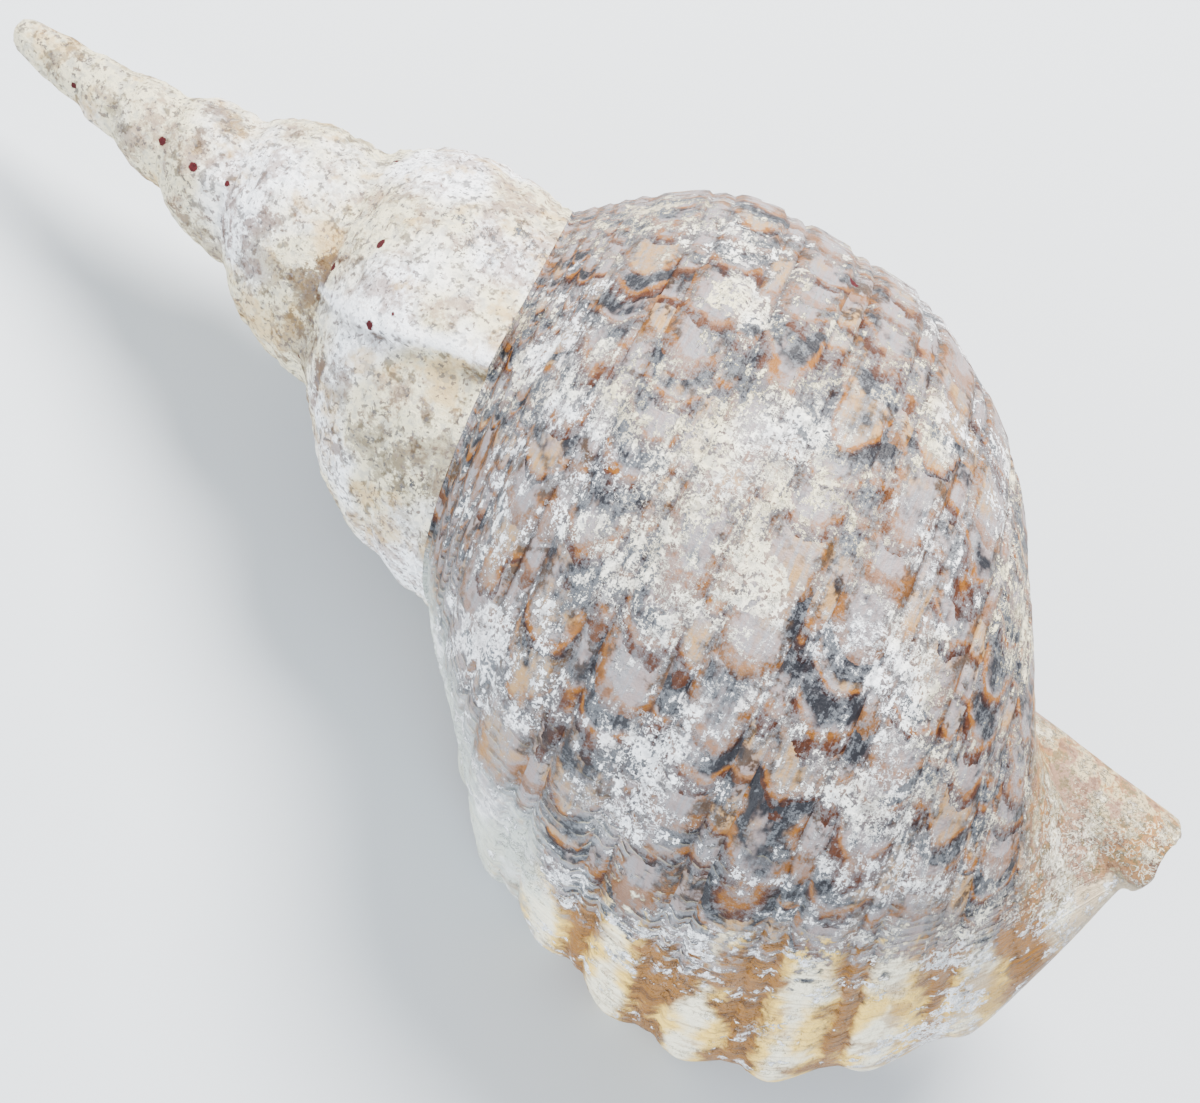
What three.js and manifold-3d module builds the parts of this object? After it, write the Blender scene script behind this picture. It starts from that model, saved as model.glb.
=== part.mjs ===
// Giant triton shell, empty and beach-worn: one grown piece, a right-handed spiral that lies
// on its aperture. Millimetres, +Z up.
// The shell is drawn in a frame of its own: X runs from the apex to the siphonal canal along the
// coiling axis, Y is the right-hand side seen from the back with the apex up, Z is the back.
// turn counts whorls: 0 at the outer lip, -1 one whorl earlier. The outside is a radius from the
// axis for each turn and each station along X, and the hollow is a loft that is cut out of it.
import * as THREE from 'three';
import Module from 'manifold-3d';

const FULL_TURN = 2 * Math.PI;

// Spiral growth
const TURNS = 7; // whorls from the worn tip to the lip
const SUTURE_AT_LIP = 172.7; // station of the last suture where the lip starts
const RADIUS_AT_LIP = 58.0; // radius of that suture
const STATION_GROWTH = 1.547; // per turn, along the axis
const RADIUS_GROWTH = 1.665; // per turn, away from the axis
const LIP_AZIMUTH = 192.9; // degrees from +Y round the axis, towards the back

// Tip of the spire
const TIP_STATION = 4.6; // the whorls before this one are worn off
const TIP_END_RADIUS = 4.2;
const TIP_RADIUS = 5.6;
const TIP_ROUNDING = 3;
const TIP_SPREAD = 8; // stations over which the tip reaches its full radius
const TIP_FADE_START = 20; // the first whorls fade out of the tip between these stations
const TIP_FADE_END = 110;
const TIP_PULL = 26; // the first whorls are drawn out by this much past the spiral's centre
const TIP_PULL_REACH = 15;
const SPIRE_LEAN = 4; // the spire's sideways bow, at its most
const SPIRE_LEAN_STATION = 95;
const SPIRE_LEAN_REACH = 55;

// Siphonal canal
const CANAL_END = 361.5;
const CANAL_START = 285;
const CANAL_FADE_IN = 240;
const CANAL_FADE_LENGTH = 45;
const CANAL_BLEND = 10; // rounding where the canal leaves the base
const CANAL_START_RADIUS = 14;
const CANAL_END_RADIUS = 11;
const CANAL_OFFSET = 1.5; // towards the right-hand side at its end
const CANAL_ROUNDING = 3;

// Last whorl and its lip
const LAST_WHORL_SWELL = 0.08;
const SWELL_START = -1.3; // turn
const SWELL_TURNS = 0.8;
const BELOW_SUTURE = 0.3; // outline share over which swelling and old lips fade in
const LIP_FLARE = 0.2;
const LIP_FLARE_TURNS = 0.1;
const LIP_FLARE_SHARES = { start: 1, full: 1.85, fade: 2.0, end: 2.2 };
const LIP_WAIST = 0.11; // the whorl pulls in below the suture before the lip flares out
const LIP_WAIST_TURNS = 0.2;
const LIP_WAIST_END_TURNS = 0.05;
const LIP_WAIST_SHARE = 1.16;
const LIP_WAIST_WIDTH = 0.09;
const LIP_TURNS = 0.06; // the scallops deepen and the wall thins over these turns
const LIP_FOOT_START = 350; // the lip ends square to the axis just short of the canal's end
const LIP_FOOT_END = 356.5;

// Relief
const CORD_PITCH = 0.105; // share of the whorl's outline from one spiral cord to the next
const CORD_PHASE = 0.11;
const CORD_HEIGHT = 0.9;
const SCALLOP_HEIGHT = 2.6; // cord height at the lip's edge
const VARICES = [ // old lips: turn, and height as a share of the local radius
  [-0.64, 0.06], [-1.255, 0.085], [-1.89, 0.06], [-2.56, 0.06], [-3.22, 0.06], [-3.9, 0.06], [-4.6, 0.06],
];
const VARIX_RISE_TURNS = 0.1;
const VARIX_DROP_TURNS = 0.02;
const VARIX_SLANT = 0.065; // turns by which an old lip leans back towards the canal

// Walls
const WALL = 4.4;
const LIP_EDGE = 2.6;
const CALLUS = 0.8; // glaze that the mouth lays on the whorl before it
const COLUMELLA_RADIUS = 12;
const COLUMELLA_BLEND = 5; // rounding where the columella leaves the whorl before
const COLUMELLA_END = 265; // from here the canal's own wall takes over
const COLUMELLA_END_LENGTH = 40;
const COLUMELLA_END_TURNS = { start: -0.6, length: 0.5 };
const MAX_WALL_SLOPE = 2.5; // steeper stretches of the outside get no thicker wall than this
const HOLLOW_TURNS = 2.2;
const HOLLOW_STEPS_PER_TURN = 30;
const HOLLOW_TOP = 1.045; // outline share where the hollow's roof lies under the suture
const HOLLOW_FOOT = 2.09;
const HOLLOW_LEAST = 0.4; // the hollow ends where it gets narrower than this
const MOUTH_OVERSHOOT = 0.012; // turns by which the hollow runs out past the lip
const GROOVE_RADIUS = 6.5;
const GROOVE_SIDE = 0.8; // from the canal's middle
const GROOVE_ROOF = -2; // height of the roof's centre, towards the back
const GROOVE_STATIONS = [296, 315, 330, 345, 353, 368];
const GROOVE_LIFT_START = 345; // the groove climbs to the back at the canal's end
const GROOVE_LIFT = 7;
const GROOVE_DEPTH = 45;

// Pose on the table, in degrees, lip side down
const ROLL = 26.85;
const PITCH = -7.24;

// Mesh
const COLUMNS_PER_TURN = 36;
const ROWS = { tip: 6, early: 3, middle: 5, late: 9, last: 14, base: 24, canal: 6 };

const clamp01 = (x) => Math.min(Math.max(x, 0), 1);
const ease = (x) => clamp01(x) ** 2 * (3 - 2 * clamp01(x));
const mix = (a, b, t) => a + (b - a) * t;

// The larger of two values, with a rounded changeover.
function softMax(a, b, reach) {
  const h = clamp01(0.5 + (0.5 * (a - b)) / reach);
  return mix(b, a, h) + reach * h * (1 - h);
}

// A curve through [x, y] points that never overshoots them.
function monotoneCurve(points) {
  const slopes = points.slice(1).map(([x, y], i) => (y - points[i][1]) / (x - points[i][0]));
  const tangents = points.map((_, i) => {
    const [before, after] = [slopes[i - 1], slopes[i]];
    if (before === undefined || after === undefined) return before ?? after;
    return before * after <= 0 ? 0 : (2 * before * after) / (before + after);
  });
  return (x) => {
    const last = points.length - 2;
    const next = points.findIndex(([px]) => px > x);
    const i = next < 0 ? last : Math.max(next - 1, 0);
    const [[x0, y0], [x1, y1]] = [points[i], points[i + 1]];
    const width = x1 - x0;
    const t = clamp01((x - x0) / width);
    const blend = ease(t);
    const lift = t * (1 - t) * width * (tangents[i] * (1 - t) - tangents[i + 1] * t);
    return mix(y0, y1, blend) + lift;
  };
}

// One whorl's outline: station and radius, both as shares of those at its upper suture.
const outline = monotoneCurve([
  [1.0, 1.0],
  [1.05, 1.17],
  [1.13, 1.39],
  [1.22, 1.55],
  [1.34, 1.64],
  [1.49, 1.685],
  [1.6, 1.695],
  [1.74, 1.59],
  [1.87, 1.39],
  [1.98, 1.08],
  [2.06, 0.73],
  [2.12, 0.36],
  [2.2, -0.1],
]);
const OUTLINE_END = 2.1;

// Share of the outline's length at each share of its station.
const outlineLengths = (() => {
  const steps = 120;
  const lengths = [0];
  const shareOf = (i) => mix(1, OUTLINE_END, i / steps);
  for (let i = 1; i <= steps; i += 1) {
    const run = (shareOf(i) - shareOf(i - 1)) * SUTURE_AT_LIP;
    const rise = (outline(shareOf(i)) - outline(shareOf(i - 1))) * RADIUS_AT_LIP;
    lengths.push(lengths[i - 1] + Math.hypot(run, rise));
  }
  return lengths.map((length, i) => [shareOf(i), length / lengths[steps]]);
})();
const lengthShare = monotoneCurve(outlineLengths);
const stationShare = monotoneCurve(outlineLengths.map(([share, length]) => [length, share]));

const azimuth = (turn) => THREE.MathUtils.degToRad(LIP_AZIMUTH) + FULL_TURN * turn;
const sutureStation = (turn) => SUTURE_AT_LIP * STATION_GROWTH ** turn;

// Spiral cords, low on the whorls and deep where they end in the lip's scallops.
function cordRelief(turn, share) {
  const length = lengthShare(share);
  const height = mix(CORD_HEIGHT * RADIUS_GROWTH ** turn, SCALLOP_HEIGHT, ease(1 + turn / LIP_TURNS));
  const onOutline = ease((share - 1) / 0.05) * ease((OUTLINE_END - share) / 0.06);
  return -height * onOutline * Math.cos((FULL_TURN * (length - CORD_PHASE)) / CORD_PITCH);
}

// Old lips: each rises over the last stretch of its growth and drops sharply after it.
function varixRelief(turn, share) {
  const slant = VARIX_SLANT * (0.5 - clamp01(lengthShare(share) / lengthShare(STATION_GROWTH)));
  return VARICES.reduce((sum, [varix, height]) => {
    const past = turn - varix - slant;
    const rise = ease(1 + past / VARIX_RISE_TURNS) ** 2;
    return sum + height * (past < 0 ? rise : 1 - ease(past / VARIX_DROP_TURNS));
  }, 0);
}

// Radius of the whorls at a station, without the canal. Inside, the old lips don't show.
function whorlRadius(turn, station, oldLips = 1) {
  const share = station / sutureStation(turn);
  const below = ease((share - 1) / BELOW_SUTURE);
  const swell = 1 + LAST_WHORL_SWELL * ease((turn - SWELL_START) / SWELL_TURNS) * below;
  const { start, full, fade, end } = LIP_FLARE_SHARES;
  const flaring = clamp01((share - start) / (full - start)) * ease((end - share) / (end - fade));
  const flare = 1 + LIP_FLARE * ease(1 + turn / LIP_FLARE_TURNS) * flaring;
  const inWaist = Math.exp(-(((share - LIP_WAIST_SHARE) / LIP_WAIST_WIDTH) ** 2));
  const waisted = ease(1 + turn / LIP_WAIST_TURNS) * (1 - ease(1 + turn / LIP_WAIST_END_TURNS));
  const waist = 1 - LIP_WAIST * waisted * inWaist;
  const foot = (station - LIP_FOOT_START) / (LIP_FOOT_END - LIP_FOOT_START);
  const varix = 1 + varixRelief(turn, share) * below * oldLips;
  const plain = RADIUS_AT_LIP * RADIUS_GROWTH ** turn * outline(share);
  const radius = plain * swell * flare * waist * varix + cordRelief(turn, share);
  return radius * Math.sqrt(1 - clamp01(foot) ** 2);
}

// Radius of the siphonal canal, a tube that ends a little to the right of the axis.
function canalRadius(angle, station) {
  const along = clamp01((station - CANAL_START) / (CANAL_END - CANAL_START));
  const tube = mix(CANAL_START_RADIUS, CANAL_END_RADIUS, along);
  const offset = CANAL_OFFSET * along;
  const towards = offset * Math.cos(angle);
  const round = towards + Math.sqrt(tube ** 2 - offset ** 2 + towards ** 2);
  const rounding = clamp01((station - CANAL_END) / CANAL_ROUNDING + 1);
  const fadeIn = ease((station - CANAL_FADE_IN) / CANAL_FADE_LENGTH);
  return round * fadeIn * Math.sqrt(1 - rounding ** 2);
}

// Radius of the blunt, worn tip, which the first whorls fade out of.
function tipRadius(station) {
  const rounding = clamp01(1 - (station - TIP_STATION) / TIP_ROUNDING);
  const radius = mix(TIP_END_RADIUS, TIP_RADIUS, ease((station - TIP_STATION) / TIP_SPREAD));
  const fade = ease((TIP_FADE_END - station) / (TIP_FADE_END - TIP_FADE_START));
  return radius * fade * Math.sqrt(1 - rounding ** 2);
}

function outerRadius(turn, station, oldLips = 1) {
  const whorl = whorlRadius(turn, station, oldLips);
  if (turn < -1) return Math.hypot(Math.max(whorl, 0), tipRadius(station));
  return softMax(whorl, canalRadius(azimuth(turn), station), CANAL_BLEND);
}

// A point in the shell's frame, with the spire drawn out and bowed.
function place(turn, station, radius) {
  const angle = azimuth(turn);
  const lean = SPIRE_LEAN * Math.exp(-(((station - SPIRE_LEAN_STATION) / SPIRE_LEAN_REACH) ** 2));
  return new THREE.Vector3(
    station - TIP_PULL * Math.exp(-station / TIP_PULL_REACH),
    radius * Math.cos(angle) + lean,
    radius * Math.sin(angle),
  );
}

// Evenly spaced stations along the outside between two stations of one column.
function evenStations(turn, from, to, rows) {
  const steps = 60;
  const fine = Array.from({ length: steps + 1 }, (_, i) => {
    const station = mix(from, to, i / steps);
    return [station, outerRadius(turn, station)];
  });
  const lengths = fine.map(() => 0);
  for (let i = 1; i <= steps; i += 1) {
    const [run, rise] = [fine[i][0] - fine[i - 1][0], fine[i][1] - fine[i - 1][1]];
    lengths[i] = lengths[i - 1] + Math.hypot(run, rise);
  }
  const stationAt = monotoneCurve(lengths.map((length, i) => [length, fine[i][0]]));
  return Array.from({ length: rows + 1 }, (_, i) => stationAt((lengths[steps] * i) / rows));
}

// Vertices and triangles of one closed mesh.
class Shape {
  constructor() {
    this.points = [];
    this.triangles = [];
  }

  add(point) {
    return this.points.push(point.x, point.y, point.z) / 3 - 1;
  }

  face(a, b, c) {
    if (a !== b && b !== c && c !== a) this.triangles.push(a, b, c);
  }

  // Fills the strip between two rows of vertices that may differ in number.
  zip(left, right) {
    let [i, j] = [0, 0];
    const [leftEnd, rightEnd] = [left.length - 1, right.length - 1];
    while (i < leftEnd || j < rightEnd) {
      const stepLeft = j === rightEnd || (i < leftEnd && (i + 1) / leftEnd <= (j + 1) / rightEnd);
      if (stepLeft) {
        this.face(left[i], left[i + 1], right[j]);
        i += 1;
      } else {
        this.face(left[i], right[j + 1], right[j]);
        j += 1;
      }
    }
  }

  solid(wasm) {
    const mesh = { numProp: 3, vertProperties: new Float32Array(this.points) };
    return new wasm.Manifold(new wasm.Mesh({ ...mesh, triVerts: new Uint32Array(this.triangles) }));
  }
}

// Rows from one suture to the next for a column of the spire or of the last whorl.
function rowsOf(turn) {
  if (turn >= -1) return ROWS.last;
  if (turn >= -2) return ROWS.late;
  if (turn >= -4) return ROWS.middle;
  return turn >= 1 - TURNS ? ROWS.early : ROWS.tip;
}

// Stations of a column below its upper suture.
function stationsOf(turn, column) {
  if (turn < -1) {
    const top = column < COLUMNS_PER_TURN ? TIP_STATION : sutureStation(turn);
    return evenStations(turn, top, sutureStation(turn + 1), rowsOf(turn)).slice(1);
  }
  const suture = sutureStation(turn);
  const nextSuture = lengthShare(STATION_GROWTH);
  const whorl = Array.from({ length: ROWS.last }, (_, i) => (nextSuture * (i + 1)) / ROWS.last);
  const base = Array.from({ length: ROWS.base }, (_, i) => mix(nextSuture, 1, (i + 1) / ROWS.base));
  const fromOutline = [...whorl, ...base]
    .map((length) => stationShare(length) * suture)
    .filter((station) => station < LIP_FOOT_START);
  const lowest = fromOutline[fromOutline.length - 1];
  return [...fromOutline, ...evenStations(turn, lowest, CANAL_END, ROWS.canal).slice(1)];
}

// The outside: columns of vertices round the spiral, each whorl sharing the suture of the last,
// closed at the lip by a flat face in the plane of the axis.
function outside() {
  const shape = new Shape();
  const count = TURNS * COLUMNS_PER_TURN;
  const columns = [];
  const tip = shape.add(place(0, TIP_STATION, 0));
  const canalTip = shape.add(place(0, CANAL_END, 0));
  for (let i = 0; i <= count; i += 1) {
    const turn = (i - count) / COLUMNS_PER_TURN;
    const earlier = columns[i - COLUMNS_PER_TURN];
    const column = [earlier ? earlier[rowsOf(turn - 1)] : tip];
    const stations = stationsOf(turn, i);
    stations.forEach((station, row) => {
      const atCanalTip = turn >= -1 && row === stations.length - 1;
      const point = place(turn, station, outerRadius(turn, station));
      column.push(atCanalTip ? canalTip : shape.add(point));
    });
    columns.push(column);
  }
  const lastWhorlStart = count - COLUMNS_PER_TURN;
  for (let i = 0; i < count; i += 1) {
    let next = columns[i + 1];
    if (i + 1 === COLUMNS_PER_TURN) next = [...columns[0], ...next.slice(1)];
    if (i + 1 === lastWhorlStart) next = next.slice(0, ROWS.last + 1);
    shape.zip(next, columns[i]);
  }
  shape.zip(columns[lastWhorlStart].slice(ROWS.last), columns[count]);
  return shape;
}

// Radius of the wall that the hollow turns about: the whorl before, then the columella.
function innerRadius(turn, station) {
  const pillar = COLUMELLA_RADIUS * STATION_GROWTH ** turn;
  const canal = canalRadius(azimuth(turn), station);
  const ending = ease((station - COLUMELLA_END) / COLUMELLA_END_LENGTH)
    * ease((turn - COLUMELLA_END_TURNS.start) / COLUMELLA_END_TURNS.length);
  const core = mix(pillar, canal, ending);
  return softMax(whorlRadius(turn - 1, station), core, COLUMELLA_BLEND) + CALLUS;
}

// The hollow's outer wall, one wall thickness inside the whorl's outside.
function hollowRadius(turn, station) {
  const step = 1;
  const wall = mix(WALL * RADIUS_GROWTH ** Math.min(turn, 0), LIP_EDGE, ease(1 + turn / LIP_TURNS));
  const smooth = (at) => outerRadius(turn, at, 0);
  const slope = (smooth(station + step) - smooth(station - step)) / (2 * step);
  return smooth(station) - wall * Math.min(Math.hypot(1, slope), MAX_WALL_SLOPE);
}

// One section of the hollow in the plane of the axis: down the outer wall and back up the inner.
function hollowSection(turn, shape) {
  const rows = { outer: 18, inner: 10 };
  const suture = sutureStation(turn);
  const open = (station) => hollowRadius(turn, station) - innerRadius(turn, station);
  const steps = 200;
  const samples = Array.from({ length: steps + 1 }, (_, i) => (
    suture * mix(HOLLOW_TOP, HOLLOW_FOOT, i / steps)
  ));
  const inside = samples.filter((station) => open(station) > HOLLOW_LEAST);
  const [top, bottom] = [inside[0], inside[inside.length - 1]];
  const section = [];
  for (let i = 0; i <= rows.outer; i += 1) {
    const station = mix(top, bottom, (1 - Math.cos((Math.PI * i) / rows.outer)) / 2);
    section.push([station, hollowRadius(turn, station)]);
  }
  for (let i = 0; i <= rows.inner; i += 1) {
    const station = mix(bottom, top, (1 - Math.cos((Math.PI * i) / rows.inner)) / 2);
    section.push([station, innerRadius(turn, station)]);
  }
  const ring = section.map(([station, radius]) => shape.add(place(turn, station, radius)));
  return { ring, flat: section.map(([station, radius]) => new THREE.Vector2(station, radius)) };
}

// The mouth and the whorls behind it, as the solid of the space they enclose.
function hollow() {
  const shape = new Shape();
  const steps = Math.round(HOLLOW_TURNS * HOLLOW_STEPS_PER_TURN);
  const sections = [];
  for (let i = -steps; i <= 0; i += 1) {
    sections.push(hollowSection(i / HOLLOW_STEPS_PER_TURN + MOUTH_OVERSHOOT, shape));
  }
  sections.slice(1).forEach(({ ring }, i) => {
    const before = sections[i].ring;
    shape.zip([...ring, ring[0]], [...before, before[0]]);
  });
  const cap = ({ ring, flat }, alongRing) => {
    THREE.ShapeUtils.triangulateShape(flat, []).forEach(([a, b, c]) => {
      const sameWay = THREE.ShapeUtils.isClockWise([flat[a], flat[b], flat[c]])
        === THREE.ShapeUtils.isClockWise(flat);
      if (sameWay === alongRing) shape.face(ring[a], ring[b], ring[c]);
      else shape.face(ring[a], ring[c], ring[b]);
    });
  };
  cap(sections[0], true);
  cap(sections[sections.length - 1], false);
  return shape;
}

// The siphonal groove: a round-roofed slot that stays open towards the table.
function groove() {
  const shape = new Shape();
  const roofSteps = 8;
  const rings = GROOVE_STATIONS.map((station) => {
    const along = clamp01((station - CANAL_START) / (CANAL_END - CANAL_START));
    const middle = CANAL_OFFSET * along + GROOVE_SIDE;
    const lift = GROOVE_LIFT * ease((station - GROOVE_LIFT_START) / (CANAL_END - GROOVE_LIFT_START));
    const points = [];
    for (let i = 0; i <= roofSteps; i += 1) {
      const angle = (Math.PI * i) / roofSteps;
      const height = lift + GROOVE_ROOF + GROOVE_RADIUS * Math.sin(angle);
      points.push([middle + GROOVE_RADIUS * Math.cos(angle), height]);
    }
    points.push([middle - GROOVE_RADIUS, -GROOVE_DEPTH], [middle + GROOVE_RADIUS, -GROOVE_DEPTH]);
    return points.map(([y, z]) => shape.add(new THREE.Vector3(station, y, z)));
  });
  rings.slice(1).forEach((ring, i) => shape.zip([...rings[i], rings[i][0]], [...ring, ring[0]]));
  const [first, last] = [rings[0], rings[rings.length - 1]];
  for (let i = 1; i < first.length - 1; i += 1) {
    shape.face(first[0], first[i + 1], first[i]);
    shape.face(last[0], last[i], last[i + 1]);
  }
  return shape;
}

const wasm = await Module();
wasm.setup();

function shellGeometry() {
  const body = outside().solid(wasm);
  const cut = hollow().solid(wasm);
  const slot = groove().solid(wasm);
  const carved = body.subtract(cut).subtract(slot);
  const { vertProperties, triVerts, numProp } = carved.getMesh();
  const geometry = new THREE.BufferGeometry();
  geometry.setAttribute('position', new THREE.BufferAttribute(vertProperties, 3));
  geometry.setIndex(new THREE.BufferAttribute(triVerts, 1));
  return geometry;
}

const chalkyShell = new THREE.MeshStandardMaterial({ color: 0xcdbfae, roughness: 0.75, metalness: 0 });
const shell = new THREE.Mesh(shellGeometry(), chalkyShell);
shell.name = 'triton_shell';
shell.rotation.set(THREE.MathUtils.degToRad(ROLL), THREE.MathUtils.degToRad(PITCH), 0, 'YXZ');

// The middle of the footprint, at the table, is the origin.
const part = new THREE.Group();
part.add(shell);
part.updateMatrixWorld(true);
const box = new THREE.Box3().setFromObject(shell, true);
const middle = box.getCenter(new THREE.Vector3());
shell.position.sub(new THREE.Vector3(middle.x, middle.y, box.min.z));

export default part;
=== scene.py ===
"""Giant triton shell: the grown form, its worn pattern and lime crust, and a plain studio."""

import math

import bpy
import numpy as np
from bpy.props import FloatProperty, FloatVectorProperty, IntProperty, PointerProperty
from mathutils import Matrix, Vector


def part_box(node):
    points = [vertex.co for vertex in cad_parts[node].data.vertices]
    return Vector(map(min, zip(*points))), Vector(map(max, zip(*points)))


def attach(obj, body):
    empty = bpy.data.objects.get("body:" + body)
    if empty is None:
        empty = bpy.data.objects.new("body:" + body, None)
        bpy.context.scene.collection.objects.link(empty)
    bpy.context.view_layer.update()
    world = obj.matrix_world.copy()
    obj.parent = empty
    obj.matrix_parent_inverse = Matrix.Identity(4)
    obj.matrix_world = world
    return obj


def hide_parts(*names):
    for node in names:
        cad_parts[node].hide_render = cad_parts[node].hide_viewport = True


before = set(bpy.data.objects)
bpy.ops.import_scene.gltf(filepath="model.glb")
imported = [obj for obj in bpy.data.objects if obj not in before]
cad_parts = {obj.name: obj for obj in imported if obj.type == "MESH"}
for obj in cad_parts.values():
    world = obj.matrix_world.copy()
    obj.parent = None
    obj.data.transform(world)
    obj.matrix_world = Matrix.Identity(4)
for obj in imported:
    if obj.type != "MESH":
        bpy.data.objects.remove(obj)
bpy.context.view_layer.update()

bl_info = {
    "name": "Giant triton shell",
    "version": (1, 0, 0),
    "blender": (4, 5, 0),
    "location": "View3D > Sidebar > Triton",
    "description": "Grows a worn giant triton shell and sets it in a plain studio",
    "category": "Add Mesh",
}

NODE = "triton_shell"
FULL_TURN = 2 * math.pi
MM = 0.001

# Old lips: turn and height as a share of the local radius, and the way each rises and drops.
VARICES = (
    (-0.64, 0.06), (-1.255, 0.085), (-1.89, 0.06), (-2.56, 0.06), (-3.22, 0.06), (-3.9, 0.06), (-4.6, 0.06),
)
VARIX_RISE_TURNS = 0.1
VARIX_DROP_TURNS = 0.012
VARIX_SLANT = 0.065

# The lip ends square to the axis between these stations.
LIP_FOOT = 0.35
LIP_FOOT_END = 0.3565

# One whorl's outline: station and radius as shares of those at its upper suture.
OUTLINE = (
    (1.0, 1.0), (1.05, 1.17), (1.13, 1.39), (1.22, 1.55), (1.34, 1.64), (1.49, 1.685), (1.6, 1.695),
    (1.74, 1.59), (1.87, 1.39), (1.98, 1.08), (2.06, 0.73), (2.12, 0.36), (2.2, -0.1),
)
OUTLINE_END = 2.1

# The last whorl swells, and its lip flares below a pinched stretch: turns, and shares at the suture.
SWELL = 0.08
SWELL_START = -1.3
SWELL_TURNS = 0.8
LIP_FLARE = 0.2
LIP_FLARE_TURNS = 0.1
LIP_FLARE_RUN = 0.85
LIP_WAIST = 0.11
LIP_WAIST_TURNS = 0.2
LIP_WAIST_END_TURNS = 0.05
LIP_WAIST_SHARE = 1.16
LIP_WAIST_REACH = 0.09
OUTLINE_LIMIT = 2.2

# Spiral cords by share of the outline's length, with their heights, and the lip's scallops.
CORD_PITCH = 0.105
CORD_PHASE = 0.11
CORD_HEIGHT = 0.9 * MM
NARROW_CORD_SHARE = 0.6
FINE_CORD_PITCH = 0.0235
FINE_CORDS_END = 0.115
FINE_CORDS_BLEND = 0.012
FINE_CORD_HEIGHT = 0.55 * MM
SCALLOP_TURNS = 0.06
SCALLOP_HEIGHT = 2.6 * MM
FINE_SCALLOP_HEIGHT = 1.0 * MM

# The canal, the worn tip and the spire's bow, by station.
CANAL_RISE_START = 0.24
CANAL_RISE = 0.045
CANAL_START = 0.285
CANAL_BLEND = 0.010
END_ROUNDING = 0.003
TIP_WIDENING = 0.008
TIP_FADE_END = 0.11
TIP_FADE = 0.09
LEAN_STATION = 0.095
LEAN_REACH = 0.055

# Crust in the mesh: name, size of its lumps and how far they stand out.
LUMPS = (("lumps", 0.011, 0.0016), ("grains", 0.0042, 0.0011))
CRUST_MIDDLE = 0.45
SMOOTH_ANGLE = math.radians(50)

# Mesh: columns round each turn and rows from suture to suture, from the worn tip to the lip.
TURN_COLUMNS = (45, 45, 45, 90, 90, 180, 360)
TURN_ROWS = (10, 12, 14, 20, 28, 42, 62)
BASE_ROWS = 96
CANAL_ROWS = 22
LIP_EXTRA_TURNS = (-0.0016, -0.0008, -0.0003)


class ShellSizes(bpy.types.PropertyGroup):
    """Sizes of the grown shell, in its own frame: X along the coiling axis, Z towards its back."""

    suture_station: FloatProperty(
        name="Last suture", description="Station of the suture at the lip", default=0.1727, unit="LENGTH")
    suture_radius: FloatProperty(
        name="Suture radius", description="Radius of the suture at the lip", default=0.058, unit="LENGTH")
    station_growth: FloatProperty(
        name="Growth along the axis", description="Growth of the stations per turn", default=1.547)
    radius_growth: FloatProperty(
        name="Growth from the axis", description="Growth of the radii per turn", default=1.665)
    lip_azimuth: FloatProperty(
        name="Lip azimuth", description="Where the lip stands round the axis",
        default=math.radians(192.9), subtype="ANGLE")
    tip_station: FloatProperty(
        name="Tip station", description="The whorls before this are worn off", default=0.0046, unit="LENGTH")
    tip_end_radius: FloatProperty(
        name="Tip end radius", description="Radius at the worn end", default=0.0042, unit="LENGTH")
    tip_radius: FloatProperty(
        name="Tip radius", description="Full radius of the worn tip", default=0.0056, unit="LENGTH")
    tip_pull: FloatProperty(
        name="Tip pull", description="How far the first whorls are drawn out", default=0.026, unit="LENGTH")
    tip_pull_reach: FloatProperty(
        name="Pull reach", description="Stations over which the pull fades", default=0.015, unit="LENGTH")
    spire_lean: FloatProperty(
        name="Spire lean", description="Sideways bow of the spire", default=0.004, unit="LENGTH")
    canal_end: FloatProperty(
        name="Canal end", description="Station of the canal's end", default=0.3615, unit="LENGTH")
    canal_start_radius: FloatProperty(
        name="Canal radius", description="Radius where the canal leaves the base",
        default=0.014, unit="LENGTH")
    canal_end_radius: FloatProperty(
        name="Canal end radius", description="Radius at the canal's end", default=0.011, unit="LENGTH")
    canal_offset: FloatProperty(
        name="Canal offset", description="Sideways shift of the canal's end", default=0.0015, unit="LENGTH")
    wall: FloatProperty(
        name="Wall", description="Thickness of the last whorl", default=0.0044, unit="LENGTH")
    lip_edge: FloatProperty(
        name="Lip edge", description="Thickness of the lip's edge", default=0.0026, unit="LENGTH")
    columella_radius: FloatProperty(
        name="Columella", description="Radius of the pillar in the mouth", default=0.012, unit="LENGTH")
    roll: FloatProperty(
        name="Roll", description="Roll on the table, lip side down",
        default=math.radians(26.85), subtype="ANGLE")
    pitch: FloatProperty(
        name="Pitch", description="Rise of the canal end", default=math.radians(-7.24), subtype="ANGLE")


def ease(x):
    x = np.clip(x, 0, 1)
    return x * x * (3 - 2 * x)


def mix(a, b, t):
    return a + (b - a) * t


def soft_max(a, b, reach):
    h = np.clip(0.5 + 0.5 * (a - b) / reach, 0, 1)
    return mix(b, a, h) + reach * h * (1 - h)


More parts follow.
